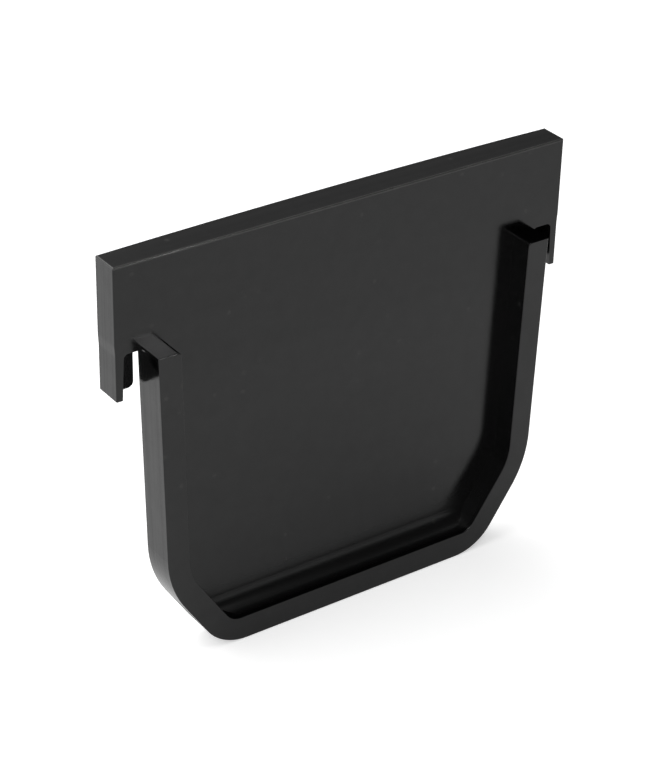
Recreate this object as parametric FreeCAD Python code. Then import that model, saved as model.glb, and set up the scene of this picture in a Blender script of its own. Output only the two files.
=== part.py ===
import FreeCAD
import Part
import math
import os

from FreeCAD import Vector

# End cap for a drainage channel, moulded in one piece. Sizes are in millimetres.
# X runs across the cap, Y from front to back and Z up.
# The origin is in the middle of the underside, in the plane of the front wall's face.

# Overall sizes
WIDTH = 118.0
HEIGHT = 100.4
BAND_HEIGHT = 20.8
BAND_DEPTH = 7.0

# Wall thicknesses
FRONT_WALL = 3.1
END_WALL = 2.1
TOP_LEDGE = 2.4
SHELF = 2.0

# The ledge along the top is a little deeper at mid-span than at its ends
LEDGE_CROWN = 1.0

# Legs that hook over the channel's side walls
LEG_DROP = 10.9
LEG_INSET = 0.15
LEG_STEP = 2.4
STEP_ROUND = 12.0
LEG_TAPER = 0.45
LEG_BACK = 2.9
LEG_CORNER = 1.4
POCKET_WIDTH = 5.1
POCKET_ROUND = 1.2
SLIT = 0.6

# Plug that fills the channel's section, with tapered sides and slanted lower corners
PLUG_TAPER = 1.75
SLANT_WIDTH = 13.7
SLANT_HEIGHT = 20.5
HIP_ROUND = 26.0
FOOT_ROUND = 12.4

# Rim that stands forward around the plug
RIM_DEPTH = 5.55
RIM_SIDE = 5.6
RIM_FOOT = 6.1
HIP_ROUND_INSIDE = 13.0
FOOT_ROUND_INSIDE = 4.5
RIM_END_ROUND = 1.0
FOOT_COVE = 3.75

# Small rounds
FRAME_ROUND = 0.7
BAND_ROUND = 0.3
RIM_ROUND = 0.2

# Places worked out from the sizes
half = WIDTH / 2
band_z = HEIGHT - BAND_HEIGHT
step_z = band_z + LEG_STEP
shelf_z = band_z + SHELF
ledge_z = HEIGHT - TOP_LEDGE
leg_z = band_z - LEG_DROP
leg_x = half - LEG_INSET
end_x = half - END_WALL
plug_x = end_x - POCKET_WIDTH
hip_x = plug_x - PLUG_TAPER
foot_x = hip_x - SLANT_WIDTH
slit_x = plug_x + SLIT
pocket_y = BAND_DEPTH - LEG_BACK


def both_sides(right):
    """Closed outline from its right-hand corners, listed from top to bottom."""
    left = [(-x, z, r) for x, z, r in reversed(right)]
    return right + left


def outline_face(corners):
    """Face in the XZ plane from (x, z, radius) corners, each rounded by its radius."""
    spots = [Vector(x, 0, z) for x, z, _ in corners]
    edges = []
    ends = []
    for i, (_, _, radius) in enumerate(corners):
        here = spots[i]
        if radius == 0:
            ends.append((here, here))
            continue
        before = (spots[i - 1] - here).normalize()
        after = (spots[(i + 1) % len(spots)] - here).normalize()
        half_angle = before.getAngle(after) / 2
        reach = radius / math.tan(half_angle)
        start = here + before * reach
        stop = here + after * reach
        inward = (before + after).normalize()
        middle = here + inward * (radius / math.sin(half_angle) - radius)
        edges.append(Part.Arc(start, middle, stop).toShape())
        ends.append((start, stop))
    for i, (start, _) in enumerate(ends):
        edges.append(Part.makeLine(ends[i - 1][1], start))
    return Part.Face(Part.Wire(Part.__sortEdges__(edges)))


def slab(corners, y_from, y_to):
    """Outline carried from one depth to another."""
    face = outline_face(corners)
    face.translate(Vector(0, y_from, 0))
    return face.extrude(Vector(0, y_to - y_from, 0))


def inset(path, moves):
    """Inner corners of an open path once each edge has moved in by its own distance."""
    lines = []
    for a, b in zip(path, path[1:]):
        length = math.hypot(b[0] - a[0], b[1] - a[1])
        lines.append(((b[1] - a[1]) / length, (a[0] - b[0]) / length))
    corners = []
    for i, (x, z) in enumerate(path[1:-1]):
        (px, pz), (qx, qz) = lines[i], lines[i + 1]
        det = px * qz - pz * qx
        corners.append((
            x + (moves[i] * qz - moves[i + 1] * pz) / det,
            z + (moves[i + 1] * px - moves[i] * qx) / det,
        ))
    return corners


def edges_where(shape, test):
    """Edges of a shape whose every end and middle passes a test."""
    found = []
    for edge in shape.Edges:
        middle = edge.valueAt((edge.FirstParameter + edge.LastParameter) / 2)
        if all(test(p) for p in [middle] + [v.Point for v in edge.Vertexes]):
            found.append(edge)
    return found


def near(a, b):
    return abs(a - b) < 1e-4


# Outer edge of the band and legs, shared by the front wall and the frame behind it
band_edge = [
    (half, HEIGHT, 0),
    (half, step_z, STEP_ROUND),
    (leg_x, band_z, STEP_ROUND),
    (leg_x, leg_z, 0),
    (end_x + LEG_TAPER, leg_z, 0),
    (end_x, band_z, POCKET_ROUND),
]
plug_edge = [
    (hip_x, SLANT_HEIGHT, HIP_ROUND),
    (foot_x, 0, FOOT_ROUND),
]

# Front wall: band, leg fronts and plug in one outline
front = slab(both_sides(band_edge + [(plug_x, band_z, POCKET_ROUND)] + plug_edge), 0, FRONT_WALL)

# Frame behind the wall: top ledge, ends and legs, with a shelf over each pocket
frame = slab(both_sides(band_edge + [
    (slit_x, band_z, 0),
    (slit_x, shelf_z, 0),
    (end_x, shelf_z, FRAME_ROUND),
    (end_x, ledge_z, FRAME_ROUND),
]), 0, BAND_DEPTH)
crown_arc = Part.Arc(
    Vector(-half, BAND_DEPTH, ledge_z),
    Vector(0, BAND_DEPTH + LEDGE_CROWN, ledge_z),
    Vector(half, BAND_DEPTH, ledge_z),
).toShape()
crown_chord = Part.makeLine(Vector(-half, BAND_DEPTH, ledge_z), Vector(half, BAND_DEPTH, ledge_z))
crown = Part.Face(Part.Wire([crown_arc, crown_chord])).extrude(Vector(0, 0, TOP_LEDGE))

# Back wall of each leg, behind its pocket
hook = slab([
    (slit_x, shelf_z, 0),
    (leg_x, shelf_z, 0),
    (leg_x, leg_z, 0),
    (slit_x, leg_z, LEG_CORNER),
], pocket_y, BAND_DEPTH)
hooks = [hook, hook.mirror(Vector(0, 0, 0), Vector(1, 0, 0))]

# Rim: the plug's outline brought forward, then hollowed
lean = PLUG_TAPER * RIM_END_ROUND / (band_z - SLANT_HEIGHT)
rim = slab(both_sides([(plug_x + lean, band_z + RIM_END_ROUND, 0)] + plug_edge), -RIM_DEPTH, FRONT_WALL)
rim_end, hip_in, foot_in = inset(
    [(half, band_z), (plug_x, band_z), (hip_x, SLANT_HEIGHT), (foot_x, 0), (0, 0)],
    [0, RIM_SIDE, RIM_SIDE, RIM_FOOT],
)
hollow = slab(both_sides([
    (half, HEIGHT, 0),
    (half, band_z, 0),
    (*rim_end, RIM_END_ROUND),
    (*hip_in, HIP_ROUND_INSIDE),
    (*foot_in, FOOT_ROUND_INSIDE),
]), -2 * RIM_DEPTH, 0)
rim = rim.cut(hollow)
rim = rim.makeFillet(RIM_ROUND, edges_where(rim, lambda p: near(p.y, -RIM_DEPTH)))

# Cove along the foot, where the wall meets the rim
cove = Part.makeBox(WIDTH, FOOT_COVE, FOOT_COVE, Vector(-half, -FOOT_COVE, RIM_FOOT))
cove = cove.cut(Part.makeCylinder(
    FOOT_COVE, WIDTH, Vector(-half, -FOOT_COVE, RIM_FOOT + FOOT_COVE), Vector(1, 0, 0),
))
cove = cove.common(hollow)

# One solid, with the edges around the top and down the front of each end eased
end_cap = front.fuse([frame, crown, rim, cove] + hooks).removeSplitter()
eased = edges_where(end_cap, lambda p: near(p.z, HEIGHT))
eased += edges_where(end_cap, lambda p: near(p.y, 0) and near(abs(p.x), leg_x))
end_cap = end_cap.makeFillet(BAND_ROUND, eased).Solids[0]

os.makedirs("parts", exist_ok=True)
end_cap.exportStep("parts/end_cap.step")
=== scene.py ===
# %% [markdown]
# # End cap of a drainage channel
# The cap closes the end of a rain-water channel that is set in the ground in front of a door or a porch.
# It is moulded in one piece from black plastic. A straight band runs along the top, a short leg hooks over
# the channel's side wall at each end, and below the band a wide plug with a raised rim fills the section.
# The CAD model already holds the exact shape, so this lesson loads it and spends its time on the finish.

import bpy
from mathutils import Matrix, Vector


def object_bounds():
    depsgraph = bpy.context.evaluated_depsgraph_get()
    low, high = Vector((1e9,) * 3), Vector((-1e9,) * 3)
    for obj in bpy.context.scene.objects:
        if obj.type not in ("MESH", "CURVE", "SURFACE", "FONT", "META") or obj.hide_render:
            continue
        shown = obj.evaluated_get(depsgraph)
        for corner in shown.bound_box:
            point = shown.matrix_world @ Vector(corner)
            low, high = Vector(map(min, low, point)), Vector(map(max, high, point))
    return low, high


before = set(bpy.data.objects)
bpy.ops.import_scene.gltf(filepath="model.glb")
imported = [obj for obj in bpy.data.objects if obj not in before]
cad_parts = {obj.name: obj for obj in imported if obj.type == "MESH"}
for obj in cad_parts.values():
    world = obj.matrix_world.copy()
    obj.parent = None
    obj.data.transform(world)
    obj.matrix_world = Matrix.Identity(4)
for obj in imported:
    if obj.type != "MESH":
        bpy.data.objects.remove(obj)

MM = 0.001
cad_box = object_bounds()
end_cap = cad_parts["end_cap"]
print("CAD box in millimetres:", [[round(v / MM, 2) for v in corner] for corner in cad_box])

# %% [markdown]
# ## Small helpers for node trees
# A material in Blender is a tree of nodes joined by links. Written out in full, each node takes several
# lines. One helper that makes a node, sets its values and joins its inputs keeps the finish readable.
# The others stand for the steps that come back most often: noise, a change of range, a colour ramp and
# plain arithmetic.

# %% Make one node, set it and join it
def add(tree, kind, settings=None, **inputs):
    """Adds a node. An input given as a socket is linked, and any other value is set on the node itself."""
    made = tree.nodes.new("ShaderNode" + kind)
    for name, value in (settings or {}).items():
        setattr(made, name, value)
    for name, value in inputs.items():
        socket = made.inputs[int(name[1:])] if name[0] == "_" else made.inputs[name.replace("_", " ")]
        if isinstance(value, bpy.types.NodeSocket):
            tree.links.new(value, socket)
        else:
            socket.default_value = value
    return made


def blank_material(name):
    """A new material with an empty tree and only its output node."""
    material = bpy.data.materials.new(name)
    material.use_nodes = True
    material.node_tree.nodes.clear()
    return material, material.node_tree, material.node_tree.nodes.new("ShaderNodeOutputMaterial")


print("node helper ready")

# %% The steps that come back most often
def noise(tree, at, per_metre, detail, roughness=0.5):
    """A soft random field with about so many blobs to the metre."""
    field = add(tree, "TexNoise", Vector=at, Scale=per_metre, Detail=detail, Roughness=roughness)
    return field.outputs["Fac"]


def remap(tree, value, start, end, first, last):
    """Turns the stretch from start to end into the one from first to last, and goes no further."""
    return add(tree, "MapRange", Value=value, _1=start, _2=end, _3=first, _4=last).outputs["Result"]


def work_out(tree, operation, *values):
    """One step of arithmetic on values, with the node's inputs filled in order."""
    in_order = {f"_{number}": value for number, value in enumerate(values)}
    return add(tree, "Math", {"operation": operation}, **in_order).outputs[0]


def ramp(tree, value, stops):
    """A colour for each value, blended between stops that each give a position and a colour."""
    made = add(tree, "ValToRGB", Fac=value)
    elements = made.color_ramp.elements
    elements[0].position, elements[0].color = stops[0]
    elements[1].position, elements[1].color = stops[-1]
    for position, colour in stops[1:-1]:
        elements.new(position).color = colour
    return made.outputs["Color"]


def grey(tone):
    """A neutral colour, written as one number."""
    return (tone, tone, tone, 1.0)


print("step helpers ready")

# %% [markdown]
# ## Black moulded plastic
# The real cap is filled with soot, so almost no light comes back out of the plastic itself. What the eye
# sees is the surface: a satin skin that mirrors the pale floor more strongly the flatter the view along it.
# A dark base colour with a plain dielectric gloss gives exactly that. The one painted light is a pale painted
# highlight along the upper edges.
# The steel mould was never perfect, so the skin is a little cloudy.

# %% Black plastic: clouds in the skin
CLOUDS_PER_METRE = 55.0
DEEP_SOOT = (0.0004, 0.0004, 0.0005, 1.0)
THIN_SOOT = (0.0012, 0.0012, 0.0013, 1.0)

black_plastic, tree, output = blank_material("black_plastic")
place = add(tree, "TexCoord").outputs["Object"]
clouds = noise(tree, place, CLOUDS_PER_METRE, detail=4.0, roughness=0.55)
soot = ramp(tree, clouds, [(0.30, DEEP_SOOT), (0.72, THIN_SOOT)])
print("clouds about", round(1 / CLOUDS_PER_METRE / MM), "mm across")

# %% [markdown]
# ### Draw marks
# When the cap leaves the mould it slides along the steel, and the side faces keep fine upright streaks.
# A noise that is squeezed from front to back and stretched along Z gives streaks of the right kind, and
# because it does not change across the cap the front stays free of them.

# %% Black plastic: draw marks
STREAKS_PER_METRE = (0.0, 950.0, 12.0)
SATIN_ROUGHNESS = (0.120, 0.165)
STREAK_ROUGHNESS = 0.030

stretched = add(tree, "Mapping", Vector=place, Scale=STREAKS_PER_METRE).outputs["Vector"]
streaks = noise(tree, stretched, 1.0, detail=3.0, roughness=0.6)
satin = remap(tree, clouds, 0.25, 0.75, *SATIN_ROUGHNESS)
streaked = remap(tree, streaks, 0.30, 0.70, -STREAK_ROUGHNESS, STREAK_ROUGHNESS)
gloss = work_out(tree, "ADD", satin, streaked)
print("draw marks about", round(1 / STREAKS_PER_METRE[1] / MM, 1), "mm apart")

# %% [markdown]
# ### Rubbed edges
# Handling leaves the sharp edges a little paler in places. The Bevel node turns the normal near an edge, and
# the angle between that normal and the face's own one marks the edges. A noise then keeps the wear to
# patches.

# %% Black plastic: rubbed edges
EDGE_REACH = 0.35 * MM
EDGE_WEAR = 0.2
PATCHES_PER_METRE = 330.0

softened = add(tree, "Bevel", {"samples": 6}, Radius=EDGE_REACH).outputs["Normal"]
face = add(tree, "NewGeometry").outputs["Normal"]
agree = add(tree, "VectorMath", {"operation": "DOT_PRODUCT"}, _0=softened, _1=face).outputs["Value"]
edge = remap(tree, agree, 0.99, 0.86, 0.0, EDGE_WEAR)
patches = noise(tree, place, PATCHES_PER_METRE, detail=3.0, roughness=0.65)
worn = remap(tree, patches, 0.53, 0.66, 0.0, 1.0)
handled = work_out(tree, "MULTIPLY", edge, worn)
print("wear reaches", round(EDGE_REACH / MM, 2), "mm from an edge")

# %% [markdown]
# ### Painted highlight on the upper edges
# A pale line is painted along the upper edges, where the rounded edge catches the light: a painted highlight,
# laid on top of the edge wear and marked by its own place. The distance from the front top edge, and from the
# top edge of either end, fades the painted highlight out within half a millimetre, and a noise breaks it into
# patches. The front edge is rounded, so its line is set a little inside the corner.

# %% Black plastic: painted highlight on the upper edges
HIGHLIGHT_FULL_WITHIN = 0.26 * MM
HIGHLIGHT_GONE_AT = 0.44 * MM
INSET_BACK = 0.05 * MM
INSET_DOWN = 0.15 * MM
HIGHLIGHT_PATCHES_PER_METRE = 130.0
HIGHLIGHT_STRENGTH = (0.56, 0.82)

half_width, top = cad_box[1][0], cad_box[1][2]
front_edge = (0.0, INSET_BACK, top - INSET_DOWN)
end_edge = (half_width, 0.0, top)
mirrored_place = add(tree, "VectorMath", {"operation": "ABSOLUTE"}, _0=place).outputs["Vector"]
across = add(tree, "Mapping", Vector=place, Scale=(0.0, 1.0, 1.0)).outputs["Vector"]
along = add(tree, "Mapping", Vector=mirrored_place, Scale=(1.0, 0.0, 1.0)).outputs["Vector"]
from_front = add(tree, "VectorMath", {"operation": "DISTANCE"}, _0=across, _1=front_edge).outputs["Value"]
from_end = add(tree, "VectorMath", {"operation": "DISTANCE"}, _0=along, _1=end_edge).outputs["Value"]
nearest = work_out(tree, "MINIMUM", from_front, from_end)
# Painted highlight: a pale line along the upper edges that fades with distance from them.
painted_highlight = remap(tree, nearest, HIGHLIGHT_GONE_AT, HIGHLIGHT_FULL_WITHIN, 0.0, 1.0)
highlight_patches = noise(tree, place, HIGHLIGHT_PATCHES_PER_METRE, detail=4.0, roughness=0.6)
highlight_strength = remap(tree, highlight_patches, 0.46, 0.72, *HIGHLIGHT_STRENGTH)
# Edge wear plus the painted highlight along the upper edges.
wear_and_highlight = work_out(tree, "MULTIPLY_ADD", painted_highlight, highlight_strength, handled)
print("upper edges worn at", round(top / MM, 1), "mm up")

# %% [markdown]
# ### Dust and wax
# A black piece shows every speck. Dust is a field of cells in which only a few cells hold a small soft pale
# dot. The wax that frees the cap from its mould is left behind too, as a clear film that lies thicker along
# the draw marks and in drifts. It is a coat whose weight changes over the skin, so it only lifts the gloss.

# %% Black plastic: dust and wax
DUST_CELLS_PER_METRE = 260.0
CLEAN_SHARE = 0.74
DRIFTS_PER_METRE = 240.0
DRIFT_WAX = (0.19, 0.09)
DRAWN_WAX = 0.09

cells = add(tree, "TexVoronoi", Vector=place, Scale=DUST_CELLS_PER_METRE).outputs
dot = remap(tree, cells["Distance"], 0.05, 0.20, 1.0, 0.0)
chosen = add(tree, "SeparateColor", Color=cells["Color"]).outputs["Red"]
few = work_out(tree, "GREATER_THAN", chosen, CLEAN_SHARE)
dust = work_out(tree, "MULTIPLY", dot, few)
drifts = noise(tree, place, DRIFTS_PER_METRE, detail=6.0, roughness=0.7)
drift_wax = remap(tree, drifts, 0.30, 0.70, *DRIFT_WAX)
drawn_wax = remap(tree, streaks, 0.30, 0.70, DRAWN_WAX, -DRAWN_WAX)
wax = work_out(tree, "ADD", drift_wax, drawn_wax)
print("dust cells about", round(1 / DUST_CELLS_PER_METRE / MM, 1), "mm apart")

# %% [markdown]
# ### The foot of the hollow
# Rain carries dust down the front and leaves it along the foot of the hollow, where the skin is duller. Two
# fades by place, one by height and one by depth, keep the dull strip inside the rim.

# %% Black plastic: dull strip along the foot
DULL_FROM, DULL_FULL = 17.0 * MM, 10.0 * MM
RIM_FRONT, RIM_INSIDE = -5.0 * MM, -3.8 * MM

spot = add(tree, "SeparateXYZ", Vector=place).outputs
low = remap(tree, spot["Z"], DULL_FROM, DULL_FULL, 0.0, 1.0)
inside = remap(tree, spot["Y"], RIM_FRONT, RIM_INSIDE, 0.0, 1.0)
dull = work_out(tree, "MULTIPLY", low, inside)
print("dull strip up to", round(DULL_FROM / MM), "mm")

# %% [markdown]
# ### Colour and roughness together
# Each mark so far is a mask between 0 and 1. Two masks pull the colour from soot to a paler tone: the edge
# wear with the painted highlight on the upper edges, and the dust. Three masks add to the roughness, because
# what is rubbed or dusty also mirrors less sharply.

# %% Black plastic: colour and roughness
# Pale colour for the edge wear and for the painted highlight along the upper edges.
WEAR_AND_HIGHLIGHT_COLOUR = (0.070, 0.070, 0.068, 1.0)
DUST_COLOUR = (0.016, 0.016, 0.015, 1.0)
ROUGHER = ((wear_and_highlight, 0.12), (dust, 0.10), (dull, 0.22))

blend = {"data_type": "RGBA"}
paler = add(tree, "Mix", blend, _0=wear_and_highlight, _6=soot, _7=WEAR_AND_HIGHLIGHT_COLOUR).outputs[2]
dusted = add(tree, "Mix", blend, _0=dust, _6=paler, _7=DUST_COLOUR).outputs[2]
rough = gloss
for mask, amount in ROUGHER:
    rough = work_out(tree, "MULTIPLY_ADD", mask, amount, rough)
print(len(ROUGHER), "masks add to the roughness")

# %% [markdown]
# ### Relief of the skin
# Plastic shrinks as it cools. The wide wall goes faintly wavy, and just above the thick foot it is drawn out
# by a few hundredths of a millimetre. Steps as low as that are far below the size of a mesh face, so each one
# is a height that feeds a Bump node: waves, draw marks, a fine grain, and the swell over the foot.

# %% Black plastic: waviness, grain and swell
WAVES_PER_METRE, WAVE_HEIGHT = 90.0, 0.04 * MM
STREAK_HEIGHT = 0.02 * MM
GRAIN_PER_METRE, GRAIN_HEIGHT = 9000.0, 0.007 * MM
SWELL_FROM, SWELL_FULL, SWELL_HEIGHT = 13.5 * MM, 9.8 * MM, 0.07 * MM

waves = noise(tree, place, WAVES_PER_METRE, detail=2.0)
grain = noise(tree, place, GRAIN_PER_METRE, detail=1.0)
rise = remap(tree, spot["Z"], SWELL_FROM, SWELL_FULL, 0.0, 1.0)
swell = work_out(tree, "MULTIPLY", rise, rise)
steps = ((waves, WAVE_HEIGHT), (streaks, STREAK_HEIGHT), (grain, GRAIN_HEIGHT), (swell, SWELL_HEIGHT))
below = {}
for height, distance in steps:
    relief = add(tree, "Bump", Strength=1.0, Distance=distance, Height=height, **below).outputs["Normal"]
    below = {"Normal": relief}
print(len(steps), "steps of relief, the highest", round(SWELL_HEIGHT / MM, 2), "mm")

# %% [markdown]
# ### The shader
# One Principled shader takes all of it. The index of refraction and the coat's roughness are the same all
# over, so they are set on the shader itself.

# %% Black plastic: the shader
PLASTIC_IOR = 1.456
WAX_ROUGHNESS = 0.14

skin = add(tree, "BsdfPrincipled", Base_Color=dusted, Roughness=rough, Normal=relief,
           IOR=PLASTIC_IOR, Coat_Weight=wax, Coat_Roughness=WAX_ROUGHNESS)
tree.links.new(skin.outputs["BSDF"], output.inputs["Surface"])
for slot in end_cap.material_slots:
    slot.material = black_plastic
print("black plastic on", end_cap.name, "with", len(tree.nodes), "nodes")

# %% [markdown]
# ## Floor
# The cap stands on a sheet of white card that is larger than the view, so no edge of it shows.
# Card under soft light is never quite white in a picture. Light Path tells the material which kind of ray
# has met it. Rays from the camera get enough extra to lift the card to white, while the soft shadow under
# the cap stays. Rays off a gloss get only a touch, so the cap mirrors the card about as it is lit.

# %% White card
CARD_TONES = (0.80, 0.84)
CARD_MOTTLE_PER_METRE = 180.0
CAMERA_LIFT = 0.50
GLOSS_LIFT = 0.05


def seen_directly(tree, path):
    """1 for a ray straight from the camera or through something clear, and 0 for any other."""
    return work_out(tree, "MAXIMUM", path["Is Camera Ray"], path["Is Transmission Ray"])


card, tree, output = blank_material("white_card")
place = add(tree, "TexCoord").outputs["Object"]
mottle = noise(tree, place, CARD_MOTTLE_PER_METRE, detail=3.0)
card_colour = add(tree, "MixRGB", Fac=mottle, Color1=grey(CARD_TONES[0]), Color2=grey(CARD_TONES[1]))
matt = add(tree, "BsdfDiffuse", Color=card_colour.outputs["Color"])
path = add(tree, "LightPath").outputs
lift = remap(tree, seen_directly(tree, path), 0.0, 1.0, 0.0, CAMERA_LIFT)
mirrored = remap(tree, path["Is Glossy Ray"], 0.0, 1.0, 0.0, GLOSS_LIFT)
glow = add(tree, "Emission", Color=grey(1.0), Strength=work_out(tree, "ADD", lift, mirrored))
both = add(tree, "AddShader", _0=matt.outputs[0], _1=glow.outputs[0])
tree.links.new(both.outputs[0], output.inputs["Surface"])
print("white card with", len(tree.nodes), "nodes")

# %% The floor itself
FLOOR_SIZE = 8.0
FLOOR_DROP = 0.05 * MM

half_floor = FLOOR_SIZE / 2
corners = [(x * half_floor, y * half_floor, -FLOOR_DROP) for x, y in ((-1, -1), (1, -1), (1, 1), (-1, 1))]
floor_mesh = bpy.data.meshes.new("floor")
floor_mesh.from_pydata(corners, [], [(0, 1, 2, 3)])
floor = bpy.data.objects.new("floor", floor_mesh)
bpy.context.scene.collection.objects.link(floor)
floor.data.materials.append(card)
print("floor", FLOOR_SIZE, "m square")

# %% [markdown]
# ## Lamps and surroundings
# A black glossy piece is lit by what it mirrors, so each light is placed for a face. A wide soft lamp hangs
# behind and to the left: it makes the card there brighter, which the end faces mirror, while the front
# mirrors the calmer card on the near side. A small weak lamp close in front is seen only in the left end of
# the rim, by way of the wall behind it, and lifts that end to the grey of the wall.

# %% Soft lamps
def soft_lamp(name, at, towards, size, watts):
    """A square lamp at a point, turned towards another point."""
    lamp = bpy.data.lights.new(name, "AREA")
    lamp.shape, lamp.size, lamp.energy = "SQUARE", size, watts
    holder = bpy.data.objects.new(name, lamp)
    holder.location = at
    holder.rotation_euler = (Vector(towards) - Vector(at)).to_track_quat("-Z", "Y").to_euler()
    bpy.context.scene.collection.objects.link(holder)
    print(name, size, "m wide")


middle = (Vector(cad_box[0]) + Vector(cad_box[1])) / 2
left_rim_end = (-0.048, -0.003, 0.081)
soft_lamp("lamp_behind_left", at=(-0.22, 0.19, 0.635), towards=middle, size=0.70, watts=2.65)
soft_lamp("lamp_front", at=(-0.0034, -0.0774, 0.1306), towards=left_rim_end, size=0.014, watts=0.0137)

# %% [markdown]
# ### The room
# The rest of the light comes from the room, which is a world in Blender. It is bright on the left like a room
# with a window, grey on the far right, which the top of the cap mirrors, and dark in front, so the hollow of
# the rim stays black. The angle to the bright side is one dot product, and a colour ramp turns it into a
# level of light. The camera itself sees plain white in place of the room.

# %% Grey room
BRIGHT_SIDE = (-0.90, 0.35, 0.25)
LIGHT_LEVELS = ((0.365, 0.03), (0.405, 0.20), (0.494, 0.265), (0.600, 1.0))

room = bpy.data.worlds.new("grey_room")
bpy.context.scene.world = room
room.use_nodes = True
tree = room.node_tree
tree.nodes.clear()
way = add(tree, "TexCoord").outputs["Generated"]
aim = add(tree, "VectorMath", {"operation": "DOT_PRODUCT"}, _0=way, _1=BRIGHT_SIDE).outputs["Value"]
share = remap(tree, aim, -1.0, 1.0, 0.0, 1.0)
level = ramp(tree, share, [(position, grey(tone)) for position, tone in LIGHT_LEVELS])
mirrored_room = add(tree, "Background", Color=level, Strength=1.0).outputs[0]
white = add(tree, "Background", Color=grey(1.0), Strength=1.0).outputs[0]
seen = seen_directly(tree, add(tree, "LightPath").outputs)
choice = add(tree, "MixShader", _0=seen, _1=mirrored_room, _2=white)
tree.links.new(choice.outputs[0], tree.nodes.new("ShaderNodeOutputWorld").inputs["Surface"])
print("room with", len(LIGHT_LEVELS), "levels of light")

# %% [markdown]
# ## Camera
# The view is from the left, in front and well above. The lens and the place come from fitting the cap's
# straight edges to a picture of it, so they are written as a place, two directions and a focal length.

# %% Camera at the picture's angle
CAMERA_AT = Vector((-0.274680, -0.379517, 0.329452))
CAMERA_RIGHT = Vector((0.823067, -0.567596, 0.019873))
CAMERA_UP = Vector((0.273920, 0.427376, 0.861579))
CAMERA_LENS = 112.836

camera_data = bpy.data.cameras.new("camera")
camera_data.sensor_width = 36.0
camera_data.sensor_fit = "AUTO"
camera_data.lens = CAMERA_LENS
camera_data.clip_start = 0.01
camera = bpy.data.objects.new("camera", camera_data)
bpy.context.scene.collection.objects.link(camera)
axes = Matrix((CAMERA_RIGHT, CAMERA_UP, CAMERA_RIGHT.cross(CAMERA_UP))).transposed()
camera.matrix_world = Matrix.Translation(CAMERA_AT) @ axes.to_4x4()
bpy.context.scene.camera = camera
bpy.context.scene.view_settings.view_transform = "Standard"
print("camera", round((CAMERA_AT - middle).length, 3), "m from the cap")
